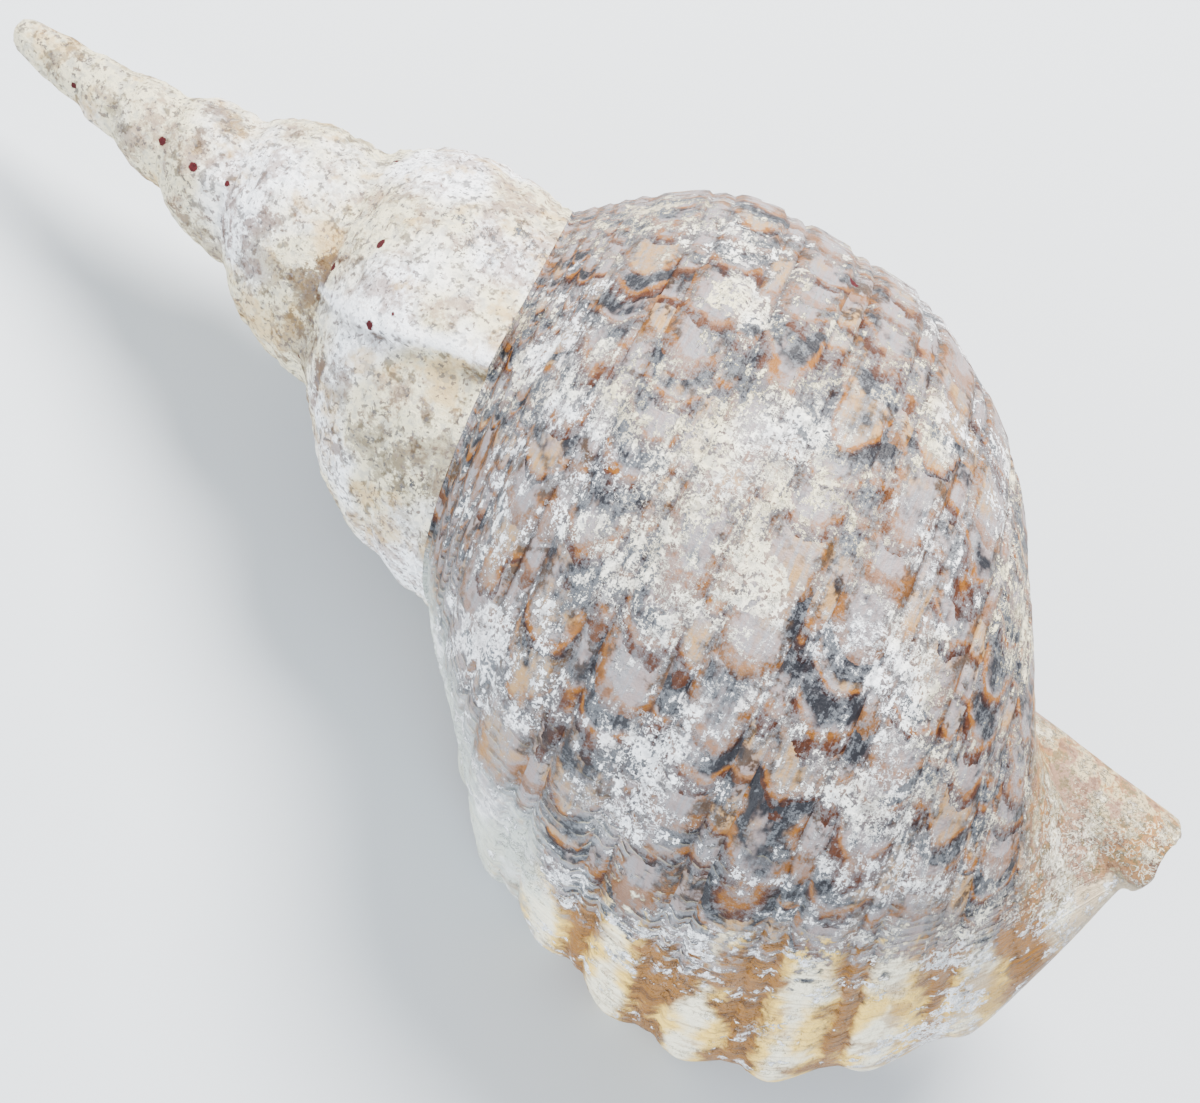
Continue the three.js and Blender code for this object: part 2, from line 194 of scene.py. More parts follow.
def monotone_curve(points):
    """A curve through (x, y) points that never overshoots them."""
    xs, ys = np.array(points, float).T
    slopes = np.diff(ys) / np.diff(xs)
    before, after = slopes[:-1], slopes[1:]
    total = np.where(before + after == 0, 1, before + after)
    inner = np.where(before * after > 0, 2 * before * after / total, 0)
    tangents = np.concatenate([slopes[:1], inner, slopes[-1:]])

    def curve(x):
        i = np.clip(np.searchsorted(xs, x, side="right") - 1, 0, len(xs) - 2)
        width = xs[i + 1] - xs[i]
        t = np.clip((x - xs[i]) / width, 0, 1)
        lift = t * (1 - t) * width * (tangents[i] * (1 - t) - tangents[i + 1] * t)
        return mix(ys[i], ys[i + 1], ease(t)) + lift

    return curve


class Growth:
    """The shell as a radius from the coiling axis for each turn and station."""

    def __init__(self, sizes):
        self.sizes = sizes
        self.outline = monotone_curve(OUTLINE)
        shares = np.linspace(1, OUTLINE_END, 241)
        runs = np.diff(shares) * sizes.suture_station
        rises = np.diff(self.outline(shares)) * sizes.suture_radius
        lengths = np.concatenate([[0], np.cumsum(np.hypot(runs, rises))])
        lengths /= lengths[-1]
        self.length_share = lambda share: np.interp(share, shares, lengths)
        self.station_share = lambda length: np.interp(length, lengths, shares)
        self.next_suture = float(self.length_share(sizes.station_growth))

    def suture(self, turn):
        return self.sizes.suture_station * self.sizes.station_growth ** turn

    def azimuth(self, turn):
        return self.sizes.lip_azimuth + FULL_TURN * turn

    def cords(self, turn, share):
        length = self.length_share(share)
        at_lip = ease((turn + SCALLOP_TURNS) / SCALLOP_TURNS)
        scale = self.sizes.radius_growth ** turn
        on_outline = ease((share - 1) / 0.03) * ease((OUTLINE_END - share) / 0.06)
        place = (length - CORD_PHASE) / CORD_PITCH
        wave = np.cos(FULL_TURN * place)
        across = np.abs(place - np.round(place))
        # broad flat cords parted by grooves, with a narrow cord low in each groove
        broad = ease((across - 0.12) / 0.12)
        narrow = NARROW_CORD_SHARE * ease((0.105 - across) / 0.06)
        relief = CORD_HEIGHT * scale * (2 * np.maximum(broad, narrow) - 1.2)
        cords = mix(relief, -SCALLOP_HEIGHT * wave, at_lip)
        fine_place = length / FINE_CORD_PITCH
        fine_height = mix(FINE_CORD_HEIGHT * scale, FINE_SCALLOP_HEIGHT, at_lip)
        fine = -np.cos(FULL_TURN * fine_place) * fine_height
        is_fine = ease((FINE_CORDS_END + FINE_CORDS_BLEND - length) / (2 * FINE_CORDS_BLEND))
        return on_outline * mix(cords, fine, is_fine)

    def growth_lines(self, turn, share):
        """Low axial folds, and overlapping scales in the last stretch before the lip."""
        length = self.length_share(share)
        cord = FULL_TURN * (length - CORD_PHASE) / CORD_PITCH
        bowed = turn - 0.004 * np.cos(cord) + 0.004 * np.sin(length * 9)
        folds = 0.35 * np.sin(bowed * 96 + 1.3 * np.sin(bowed * 23)) * ease((turn + 0.9) / 0.4)
        scale_place = bowed * 150 + 0.6 * np.sin(bowed * 31)
        scales = 0.75 * (scale_place - np.floor(scale_place) - 0.5)
        near_lip = ease((turn + 0.17) / 0.06) * (1 - ease((turn + 0.035) / 0.02))
        return MM * (folds * (1 - near_lip) + scales * near_lip) * ease((share - 1.02) / 0.1)

    def varix(self, turn, share):
        slant = VARIX_SLANT * (0.5 - np.clip(self.length_share(share) / self.next_suture, 0, 1))
        relief = 0
        for varix, height in VARICES:
            past = turn - varix - slant
            rise = ease(1 + past / VARIX_RISE_TURNS) ** 2
            relief = relief + height * np.where(past < 0, rise, 1 - ease(past / VARIX_DROP_TURNS))
        return relief

    def whorl(self, turn, station, detail=True, old_lips=1):
        share = station / self.suture(turn)
        below = ease((share - 1) / 0.3)
        swell = 1 + SWELL * ease((turn - SWELL_START) / SWELL_TURNS) * below
        opening = ease((turn + LIP_FLARE_TURNS) / LIP_FLARE_TURNS)
        flaring = np.clip((share - 1) / LIP_FLARE_RUN, 0, 1) * ease((OUTLINE_LIMIT - share) / 0.2)
        flare = 1 + LIP_FLARE * opening * flaring
        waisted = ease((turn + LIP_WAIST_TURNS) / LIP_WAIST_TURNS) \
            * (1 - ease((turn + LIP_WAIST_END_TURNS) / LIP_WAIST_END_TURNS))
        waist = 1 - LIP_WAIST * waisted * np.exp(-(((share - LIP_WAIST_SHARE) / LIP_WAIST_REACH) ** 2))
        foot = np.clip((station - LIP_FOOT) / (LIP_FOOT_END - LIP_FOOT), 0, 1)
        varix = 1 + self.varix(turn, share) * below * old_lips
        plain = self.sizes.suture_radius * self.sizes.radius_growth ** turn * self.outline(share)
        radius = plain * swell * flare * waist * varix
        if detail:
            radius = radius + self.cords(turn, share) + self.growth_lines(turn, share)
        return radius * np.sqrt(1 - foot ** 2)

    def canal(self, angle, station):
        s = self.sizes
        along = np.clip((station - CANAL_START) / (s.canal_end - CANAL_START), 0, 1)
        tube = mix(s.canal_start_radius, s.canal_end_radius, along)
        offset = s.canal_offset * along
        towards = offset * np.cos(angle)
        round_part = towards + np.sqrt(tube ** 2 - offset ** 2 + towards ** 2)
        rounding = np.clip((station - s.canal_end) / END_ROUNDING + 1, 0, 1)
        return round_part * ease((station - CANAL_RISE_START) / CANAL_RISE) * np.sqrt(1 - rounding ** 2)

    def tip(self, station):
        s = self.sizes
        past = station - s.tip_station
        rounding = np.clip(1 - past / END_ROUNDING, 0, 1)
        radius = mix(s.tip_end_radius, s.tip_radius, ease(past / TIP_WIDENING))
        return radius * np.sqrt(1 - rounding ** 2) * ease((TIP_FADE_END - station) / TIP_FADE)

    def outer(self, turn, station, detail=True, old_lips=1):
        whorl = self.whorl(turn, station, detail, old_lips)
        spire = np.hypot(np.maximum(whorl, 0), self.tip(station))
        base = soft_max(whorl, self.canal(self.azimuth(turn), station), CANAL_BLEND)
        return np.where(turn < -1 - 1e-9, spire, base)

    def place(self, turn, station, radius):
        turn, station, radius = np.broadcast_arrays(turn, station, radius)
        angle = self.azimuth(turn)
        lean = self.sizes.spire_lean * np.exp(-(((station - LEAN_STATION) / LEAN_REACH) ** 2))
        x = station - self.sizes.tip_pull * np.exp(-station / self.sizes.tip_pull_reach)
        return np.stack([x, radius * np.cos(angle) + lean, radius * np.sin(angle)], -1)

    def even_stations(self, turn, start, end, rows):
        fine = np.linspace(start, end, 121)
        radii = self.outer(turn, fine, detail=False)
        lengths = np.concatenate([[0], np.cumsum(np.hypot(np.diff(fine), np.diff(radii)))])
        return np.interp(np.linspace(0, lengths[-1], rows + 1), lengths, fine)


class Sheet:
    """Vertices, faces and pattern coordinates of one closed mesh."""

    def __init__(self):
        self.points = []
        self.faces = []
        self.marks = []

    def add(self, points):
        first = len(self.points)
        self.points.extend(points.tolist())
        return list(range(first, first + len(points)))

    def face(self, corners):
        """corners: (vertex, (turn, length share)) pairs. Corners on the same vertex are merged."""
        kept = [c for i, c in enumerate(corners) if c[0] != corners[i - 1][0]]
        if len(kept) > 2:
            self.faces.append([c[0] for c in kept])
            self.marks.extend(c[1] for c in kept)

    def zip(self, left, right):
        """Fills the strip between two rows of (vertex, mark) pairs that may differ in number."""
        i = j = 0
        left_end, right_end = len(left) - 1, len(right) - 1
        while i < left_end or j < right_end:
            if left_end == right_end:
                self.face([left[i], left[i + 1], right[j + 1], right[j]])
                i += 1
                j += 1
            elif j == right_end or (i < left_end and (i + 1) / left_end <= (j + 1) / right_end):
                self.face([left[i], left[i + 1], right[j]])
                i += 1
            else:
                self.face([left[i], right[j + 1], right[j]])
                j += 1

    def build(self, name):
        mesh = bpy.data.meshes.new(name)
        mesh.from_pydata(self.points, [], self.faces)
        marks = mesh.uv_layers.new(name="growth")
        marks.data.foreach_set("uv", np.array(self.marks, np.float32).ravel())
        mesh.validate()
        obj = bpy.data.objects.new(name, mesh)
        bpy.context.scene.collection.objects.link(obj)
        return obj


def turn_columns():
    """Turns of the columns in each whorl, finest in the last one and close together at the lip."""
    whorls = []
    first = -len(TURN_COLUMNS)
    for k, count in enumerate(TURN_COLUMNS):
        whorls.append([round(first + k + i / count, 6) for i in range(count)])
    whorls[-1] += [*LIP_EXTRA_TURNS, 0.0]
    return whorls


def grow_outside(growth):
    """The outside: columns round the spiral, where each whorl hangs from the last one's suture."""
    sheet = Sheet()
    sizes = growth.sizes
    whorls = turn_columns()
    first = -len(whorls)
    tip = sheet.add(growth.place(0, np.full(1, sizes.tip_station), 0.0))[0]
    canal_tip = sheet.add(growth.place(0, np.full(1, sizes.canal_end), 0.0))[0]
    heads = {}
    columns = {}

    def length_of(turn, station):
        return growth.length_share(np.clip(station / growth.suture(turn), 1, OUTLINE_END))

    def make_column(turn, rows, last):
        top = sizes.tip_station if turn < first + 1 - 1e-9 else growth.suture(turn)
        if last:
            lengths = np.concatenate([
                growth.next_suture * np.arange(1, rows + 1) / rows,
                mix(growth.next_suture, 1, np.arange(1, BASE_ROWS + 1) / BASE_ROWS),
            ])
            stations = growth.station_share(lengths) * growth.suture(turn)
            stations = stations[stations < LIP_FOOT]
            tail = growth.even_stations(turn, stations[-1], sizes.canal_end, CANAL_ROWS)[1:]
            stations = np.concatenate([stations, tail])
        else:
            stations = growth.even_stations(turn, top, growth.suture(turn + 1), rows)[1:]
        radii = growth.outer(turn, stations)
        ids = sheet.add(growth.place(turn, stations, radii))
        if last:
            ids[-1] = canal_tip
        head = heads.get(turn, tip)
        marks = [(turn, 0.0)] + [(turn, float(v)) for v in length_of(turn, stations)]
        return list(zip([head] + ids, marks))

    for k, turns in enumerate(whorls):
        last = k == len(whorls) - 1
        rows = TURN_ROWS[k]
        for turn in turns:
            columns[turn] = make_column(turn, rows, last)
            if turn == -1:
                heads[0.0] = columns[turn][rows][0]
        if last:
            break
        # the whorl's last row also carries the columns that the next whorl hangs from it
        end = growth.next_suture
        for turn in [t for t in whorls[k + 1] if t < 0]:
            before = round(turn - 1, 6)
            if before in columns:
                heads[turn] = columns[before][-1][0]
            else:
                station = growth.suture(turn) * np.ones(1)
                heads[turn] = sheet.add(growth.place(before, station, growth.outer(before, station)))[0]
    order = sorted(columns)
    heads_of = sorted(heads)
    for left, right in zip(order[:-1], order[1:]):
        a, b = columns[left], columns[right]
        if right == first + 1:
            start = columns[first]
            b = [(v, (right, 0.0)) for v, _ in start[:-1]] + b
        if left < -1 and right <= -1:
            rows = TURN_ROWS[-1] + 1 if right == -1 else len(columns[right])
            if right == -1:
                b = b[:rows]
            between = [t for t in heads_of if left + 1e-7 < t - 1 < right - 1e-7]
            a = a + [(heads[t], (t - 1, growth.next_suture)) for t in between]
        sheet.zip(b, a)
    joint = TURN_ROWS[-1]
    inner = [(v, (0.0, mark[1])) for v, mark in columns[-1.0][joint:]]
    sheet.zip(inner, columns[0.0])
    return sheet


class Hollow:
    """The mouth and the whorls behind it, as the solid of the space that they enclose."""

    TURNS = 2.2
    OUTER_ROWS = 40
    INNER_ROWS = 22
    OVERSHOOT = 0.012
    SHARES = (1.045, 2.09)
    LEAST = 0.4 * MM
    LIP_TURNS = 0.05
    STEEPEST = 2.5
    FOLD_PITCH = 0.0085
    TOOTH_HEIGHT = 1.5 * MM
    TOOTH_OFFSET = 0.13
    TOOTH_WIDTH = 0.07

    def __init__(self, growth):
        self.growth = growth

    def inner(self, turn, station):
        g = self.growth
        pillar = g.sizes.columella_radius * g.sizes.station_growth ** turn
        canal = g.canal(g.azimuth(turn), station)
        core = mix(pillar, canal, ease((station - 0.265) / 0.040) * ease((turn + 0.6) / 0.5))
        plain = soft_max(g.whorl(turn - 1, station, detail=False), core, 0.005) + 0.8 * MM
        # low folds wind down the columella
        along = ease((station - 0.235) / 0.02) * ease((turn + 0.5) / 0.2)
        folds = 0.5 + 0.5 * np.cos(FULL_TURN * (station / self.FOLD_PITCH + turn * 3))
        return plain + 0.5 * MM * along * folds

    def outer(self, turn, station):
        g = self.growth
        s = g.sizes
        at_lip = ease((turn + self.LIP_TURNS) / self.LIP_TURNS)
        wall = mix(s.wall * s.radius_growth ** np.minimum(turn, 0), s.lip_edge, at_lip)
        reach = 1 * MM
        ahead, radius, behind = (
            g.outer(turn, station + step, detail=False, old_lips=0) for step in (reach, 0, -reach))
        slope = (ahead - behind) / (2 * reach)
        share = station / g.suture(turn)
        scallops = g.cords(turn, share) * at_lip
        across_wall = wall * np.minimum(np.hypot(1, slope), self.STEEPEST)
        return radius + scallops - across_wall - self.teeth(turn, share)

    def teeth(self, turn, share):
        """Paired ridges inside the lip, a pair behind each broad cord."""
        g = self.growth
        place = (g.length_share(share) - CORD_PHASE) / CORD_PITCH
        across = place - np.floor(place) - 0.5
        pair = np.exp(-(((np.abs(across) - self.TOOTH_OFFSET) / self.TOOTH_WIDTH) ** 2))
        window = ease((turn + 0.055) / 0.02) * ease((-0.006 - turn) / 0.012)
        on_lip = ease((share - 1.12) / 0.08) * ease((1.98 - share) / 0.08)
        return self.TOOTH_HEIGHT * pair * window * on_lip

    def section(self, turn, sheet):
        g = self.growth
        shares = np.linspace(*self.SHARES, 400)
        stations = shares * g.suture(turn)
        open_here = self.outer(turn, stations) - self.inner(turn, stations) > self.LEAST
        top, bottom = stations[open_here][0], stations[open_here][-1]
        down = (1 - np.cos(np.pi * np.arange(self.OUTER_ROWS + 1) / self.OUTER_ROWS)) / 2
        up = (1 - np.cos(np.pi * np.arange(self.INNER_ROWS + 1) / self.INNER_ROWS)) / 2
        outer_stations = mix(top, bottom, down)
        inner_stations = mix(bottom, top, up)
        stations = np.concatenate([outer_stations, inner_stations])
        radii = np.concatenate([self.outer(turn, outer_stations), self.inner(turn, inner_stations)])
        ids = sheet.add(g.place(turn, stations, radii))
        marks = [(turn, float(v)) for v in np.concatenate([down, 1 + up])]
        return list(zip(ids, marks))

    def grow(self):
        sheet = Sheet()
        turns = np.concatenate([
            np.linspace(-self.TURNS, -0.9, 60, endpoint=False),
            np.linspace(-0.9, -0.06, 90, endpoint=False),
            np.linspace(-0.06, self.OVERSHOOT, 24),
        ])
        sections = [self.section(turn, sheet) for turn in turns]
        for before, after in zip(sections[:-1], sections[1:]):
            sheet.zip(after + after[:1], before + before[:1])
        self.cap(sheet, sections[0], False)
        self.cap(sheet, sections[-1], True)
        return sheet

    def cap(self, sheet, section, ends):
        """Closes a section with a strip between its outer and its inner wall."""
        outer = section[:self.OUTER_ROWS + 1]
        inner = section[self.OUTER_ROWS + 1:][::-1]
        if ends:
            sheet.zip(inner, outer)
        else:
            sheet.zip(outer, inner)


def grow_groove(growth):
    """The siphonal groove: a round-roofed slot that stays open towards the table."""
    sheet = Sheet()
    sizes = growth.sizes
    radius, roof, depth = 0.0065, 24, 0.045
    start, rise_start, end = 0.296, 0.345, 0.368
    stations = np.concatenate([
        np.linspace(start, rise_start, 20, endpoint=False), np.linspace(rise_start, end, 14)])
    angles = np.pi * np.arange(roof + 1) / roof
    rings = []
    for station in stations:
        along = np.clip((station - CANAL_START) / (sizes.canal_end - CANAL_START), 0, 1)
        lift = 0.007 * ease((station - rise_start) / (sizes.canal_end - rise_start))
        middle = sizes.canal_offset * along + 0.8 * MM
        y = np.concatenate([middle + radius * np.cos(angles), [middle - radius, middle + radius]])
        z = np.concatenate([lift - 2 * MM + radius * np.sin(angles), [-depth, -depth]])
        ids = sheet.add(np.stack([np.full(len(y), station), y, z], -1))
        rings.append([(v, (0.0, 3 + i / len(ids))) for i, v in enumerate(ids)])
    for before, after in zip(rings[:-1], rings[1:]):
        sheet.zip(before + before[:1], after + after[:1])
    sheet.faces.append([v for v, _ in rings[0]][::-1])
    sheet.marks.extend(mark for _, mark in rings[0][::-1])
    sheet.faces.append([v for v, _ in rings[-1]])
    sheet.marks.extend(mark for _, mark in rings[-1])
    return sheet


def choose(obj):
    bpy.ops.object.select_all(action="DESELECT")
    obj.select_set(True)
    bpy.context.view_layer.objects.active = obj


def lay_crust(shell, growth):
    """Makes the crusted outside lumpy, most on the spire and least at the lip."""
    group = shell.vertex_groups.new(name="crust")
    turns = np.zeros(len(shell.data.vertices))
    marks = shell.data.uv_layers["growth"].data
    for loop in shell.data.loops:
        turns[loop.vertex_index] = marks[loop.index].uv[0]
    weights = mix(0.45, 1.0, ease((-0.9 - turns) / 0.2)) * mix(1.0, 0.15, ease((turns + 0.16) / 0.06))
    for weight in np.unique(weights.round(2)):
        group.add(np.flatnonzero(weights.round(2) == weight).tolist(), float(weight), "REPLACE")
    for name, size, strength in LUMPS:
        clouds = bpy.data.textures.new(name, "CLOUDS")
        clouds.noise_scale = size
        clouds.noise_depth = 2
        modifier = shell.modifiers.new(name, "DISPLACE")
        modifier.texture = clouds
        modifier.texture_coords = "LOCAL"
        modifier.strength = strength
        modifier.mid_level = CRUST_MIDDLE
        modifier.vertex_group = "crust"
        choose(shell)
        bpy.ops.object.modifier_apply(modifier=modifier.name)
    shell.vertex_groups.clear()


def cut(target, cutter):
    choose(target)
    modifier = target.modifiers.new("cut", "BOOLEAN")
    modifier.object = cutter
    modifier.operation = "DIFFERENCE"
    modifier.solver = "MANIFOLD"
    modifier.material_mode = "TRANSFER"
    bpy.ops.object.modifier_apply(modifier=modifier.name)
    bpy.data.objects.remove(cutter)


def rest_turn(sizes):
    """The turn from the shell's own frame to its pose on the table."""
    return Matrix.Rotation(sizes.pitch, 3, "Y") @ Matrix.Rotation(sizes.roll, 3, "X")


class Value:
    """A number on a shader wire. Sums and products of values add their Math nodes."""

    def __init__(self, finish, socket):
        self.finish = finish
        self.socket = socket

    def math(self, operation, *others):
        return self.finish.math(operation, self, *others)

    def __add__(self, other):
        return self.math("ADD", other)

    __radd__ = __add__

    def __mul__(self, other):
        return self.math("MULTIPLY", other)

    __rmul__ = __mul__

    def __sub__(self, other):
        return self.math("SUBTRACT", other)

    def __rsub__(self, other):
        return self.finish.math("SUBTRACT", other, self)

    def __truediv__(self, other):
        return self.math("DIVIDE", other)

    def floor(self):
        return self.math("FLOOR")

    def fract(self):
        return self.math("FRACT")

    def abs(self):
        return self.math("ABSOLUTE")

    def over(self, edge):
        return self.math("GREATER_THAN", edge)

    def under(self, edge):
        return self.math("LESS_THAN", edge)

    def above(self, low, high):
        """0 at low, 1 at high, eased between them."""
        return self.finish.span(self, low, high)


class Finish:
    """A material under construction: adds nodes and wires them."""

    def __init__(self, name):
        self.material = bpy.data.materials.new(name)
        self.material.use_nodes = True
        self.tree = self.material.node_tree
        self.shader = self.tree.nodes["Principled BSDF"]

    def node(self, kind, settings, inputs, output=0):
        """Adds a node, sets it up, wires its sockets and gives back one output."""
        node = self.tree.nodes.new(kind)
        for key, setting in settings.items():
            setattr(node, key, setting)
        for key, value in inputs.items():
            self.wire(value, node.inputs[key])
        return node.outputs[output]

    def wire(self, value, socket):
        value = value.socket if isinstance(value, Value) else value
        if isinstance(value, bpy.types.NodeSocket):
            self.tree.links.new(value, socket)
        else:
            socket.default_value = value

    def math(self, operation, *values):
        return Value(self, self.node("ShaderNodeMath", {"operation": operation}, dict(enumerate(values))))

    def span(self, value, low, high):
        inputs = {"Value": value, "From Min": low, "From Max": high}
        return Value(self, self.node("ShaderNodeMapRange", {"interpolation_type": "SMOOTHSTEP"}, inputs))

    def noise(self, vector, scale, detail, roughness=0.55):
        inputs = {"Vector": vector, "Scale": scale, "Detail": detail, "Roughness": roughness}
        return Value(self, self.node("ShaderNodeTexNoise", {}, inputs))

    def chance(self, vector):
        """An even random number for each whole step of a vector."""
        settings = {"noise_dimensions": "3D"}
        return Value(self, self.node("ShaderNodeTexWhiteNoise", settings, {"Vector": vector}))

    def vector(self, x, y, z=0.0):
        return self.node("ShaderNodeCombineXYZ", {}, {"X": x, "Y": y, "Z": z})

    def split(self, vector):
        """The first two numbers of a vector."""
        node = self.tree.nodes.new("ShaderNodeSeparateXYZ")
        self.wire(vector, node.inputs[0])
        return Value(self, node.outputs[0]), Value(self, node.outputs[1])

    def choose(self, chance, yes, no):
        """yes where chance is 1 and no where it is 0."""
        return no + chance * (yes - no) if isinstance(yes, Value) else chance * (yes - no) + no

    def blend(self, base, over, factor):
        inputs = {0: factor, 6: base, 7: over}
        settings = {"data_type": "RGBA", "clamp_factor": True}
        return self.node("ShaderNodeMix", settings, inputs, 2)

    def set(self, **values):
        for key, value in values.items():
            self.wire(value, self.shader.inputs[key.replace("_", " ")])


def rgb(red, green, blue):
    """A colour for the shader from its screen values, 0 to 255."""
    linear = [((v / 255 + 0.055) / 1.055) ** 2.4 if v > 10 else v / 255 / 12.92 for v in (red, green, blue)]
    return (*linear, 1.0)


class ShellColours(bpy.types.PropertyGroup):
    """Colours of the shell's pattern and of what has grown on it."""

    def tint(name, *screen):
        return FloatVectorProperty(
            name=name, description=f"{name} on the shell", size=4, subtype="COLOR", min=0, max=1,
            default=rgb(*screen))

    lime: tint("White lime crust", 247, 248, 251)
    cream_crust: tint("Cream crust", 212, 198, 150)
    veil: tint("Thin lime veil", 130, 134, 140)
    pearl: tint("Pearl grey ground", 138, 123, 121)
    cream: tint("Cream ground", 162, 126, 82)
    ochre: tint("Ochre edge", 122, 74, 14)
    rust: tint("Rust crescent", 66, 31, 9)
    # Umber is also the painted shadow just past the old lips on the spire.
    maroon: tint("Maroon line", 30, 12, 11)
    umber_and_shade: tint("Umber smear", 58, 40, 24)
    slate: tint("Slate patch", 29, 29, 34)
    lip: tint("Lip cream", 250, 208, 100)
    # Pale crest colour, partly a painted highlight: it whitens the scallops' raised tops.
    lip_white_and_highlight: tint("Lip crest", 252, 244, 214)
    pale_lip: tint("Pale lip side", 190, 198, 190)
    mouth: tint("Mouth orange", 177, 99, 42)
    canal: tint("Canal tan", 150, 106, 58)
    stain: tint("Spire stain", 126, 92, 76)
    olive: tint("Olive stain", 98, 88, 58)
    dot: tint("Crimson dot", 62, 10, 16)


# What has its own place on the outside: turn, outline length share and radius.
CRIMSON_DOTS = (
    (-6.19, 0.44, 0.0009), (-3.25, 0.01, 0.0014), (-3.25, 0.27, 0.0014), (-3.26, 0.45, 0.0009),
    (-3.3, 0.1, 0.0007), (-1.45, 0.04, 0.0013), (-1.31, 0.14, 0.0015), (-1.26, 0.03, 0.0012),
    (-1.24, 0.08, 0.0009), (-1.25, 0.21, 0.0015), (-1.27, 0.25, 0.0009), (-2.12, 0.45, 0.0009),
    (-0.44, 0.41, 0.0015),
)
GREY_STAINS = (
    (-1.18, 0.18, 0.007), (-1.17, 0.29, 0.009), (-1.21, 0.43, 0.009), (-2.2, 0.43, 0.008),
    (-3.4, 0.3, 0.006),
)
BROWN_STAINS = ((-2.2, 0.3, 0.011), (-2.14, 0.44, 0.012), (-6.33, 0.15, 0.005), (-3.1, 0.4, 0.008))
LIME_PATCHES = ((-0.285, 0.466, 0.008), (-0.38, 0.29, 0.008), (-0.18, 0.19, 0.01), (-0.3, 0.07, 0.006))


# Grains in the shell's material: how many to a metre, finer octaves and the strength of each.
GRAINS = {
    "wander": (45.0, 3.0, 0.55), "fray": (260.0, 3.0, 0.65), "patches": (36.0, 3.0, 0.55),
    "warmth": (60.0, 4.0, 0.55), "layers": (52.0, 4.0, 0.55), "bands": (34.0, 3.0, 0.55),
    "crests": (48.0, 4.0, 0.55), "lip blush": (90.0, 5.0, 0.65), "lip side": (60.0, 4.0, 0.55),
    "canal mottle": (240.0, 4.0, 0.74), "canal pearl": (60.0, 3.0, 0.55), "canal cream": (150.0, 4.0, 0.7),
    "flakes": (150.0, 5.0, 0.84), "blots": (15.0, 2.0, 0.5), "lip bits": (75.0, 3.0, 0.6),
    "specks": (620.0, 2.0, 0.62), "holes": (330.0, 3.0, 0.6), "creamy": (21.0, 3.0, 0.5),
    "stain": (90.0, 5.0, 0.76), "olive": (24.0, 2.0, 0.55), "blush": (55.0, 4.0, 0.7),
}
# Streaks: how many to a turn and to an outline's length, finer octaves and the strength of each.
STREAKS = {
    "lip lines": (420.0, 7.0, 2.0, 0.6), "growth": (260.0, 16.0, 3.0, 0.65), "cord": (30.0, 120.0, 3.0, 0.65),
}

# Where one part of the pattern gives way to the next: in turns, then in outline lengths.
LIP_BAND = (-0.108, -0.084)
LIP_SCALES = (-0.2, -0.12)
CREAM_END = (-0.32, -0.18)
FAR_SIDE_END = (-0.62, -0.5)
SPIRE_END = (-1.03, -0.99)
FLANK = (0.6, 0.85)
LIP_END = (0.72, 0.86)
CANAL = (0.93, 0.98)

# The pale tiles along the cords, and where a groove parts a broad cord from a narrow one.
FINE_TILES, NARROW_TILES, BROAD_TILES = 58.0, 34.0, 38.0
GROOVE_OFFSET = 0.37
SCALES_PER_TURN = 170.0
# The first old lips: each gets a painted highlight on its crest and a painted shadow just past it.
SHADED_VARICES = VARICES[:4]

# What the crust's cover is summed from, and where the sum turns to crust.
FLAKE_SHARE, PATCH_SHARE, BLOT_SHARE, STREAK_SHARE, SPIRE_SHARE = 0.7, 0.24, 0.1, 0.18, 0.122
COVER = (0.64, 0.647)
VEIL = (0.57, 0.628)
RELIEF = (0.59, 0.61)
FLAKE_CONTRAST = 0.74


def on_shell(marks, growth, turned, shift):
    """Points and radii of marks that are given by turn and outline length share."""
    places = []
    for turn, length, radius in marks:
        station = growth.station_share(length) * growth.suture(turn)
        point = growth.place(turn, station, growth.outer(turn, station, detail=False))
        places.append((turned @ Vector(np.ravel(point)) + shift, radius))
    return places


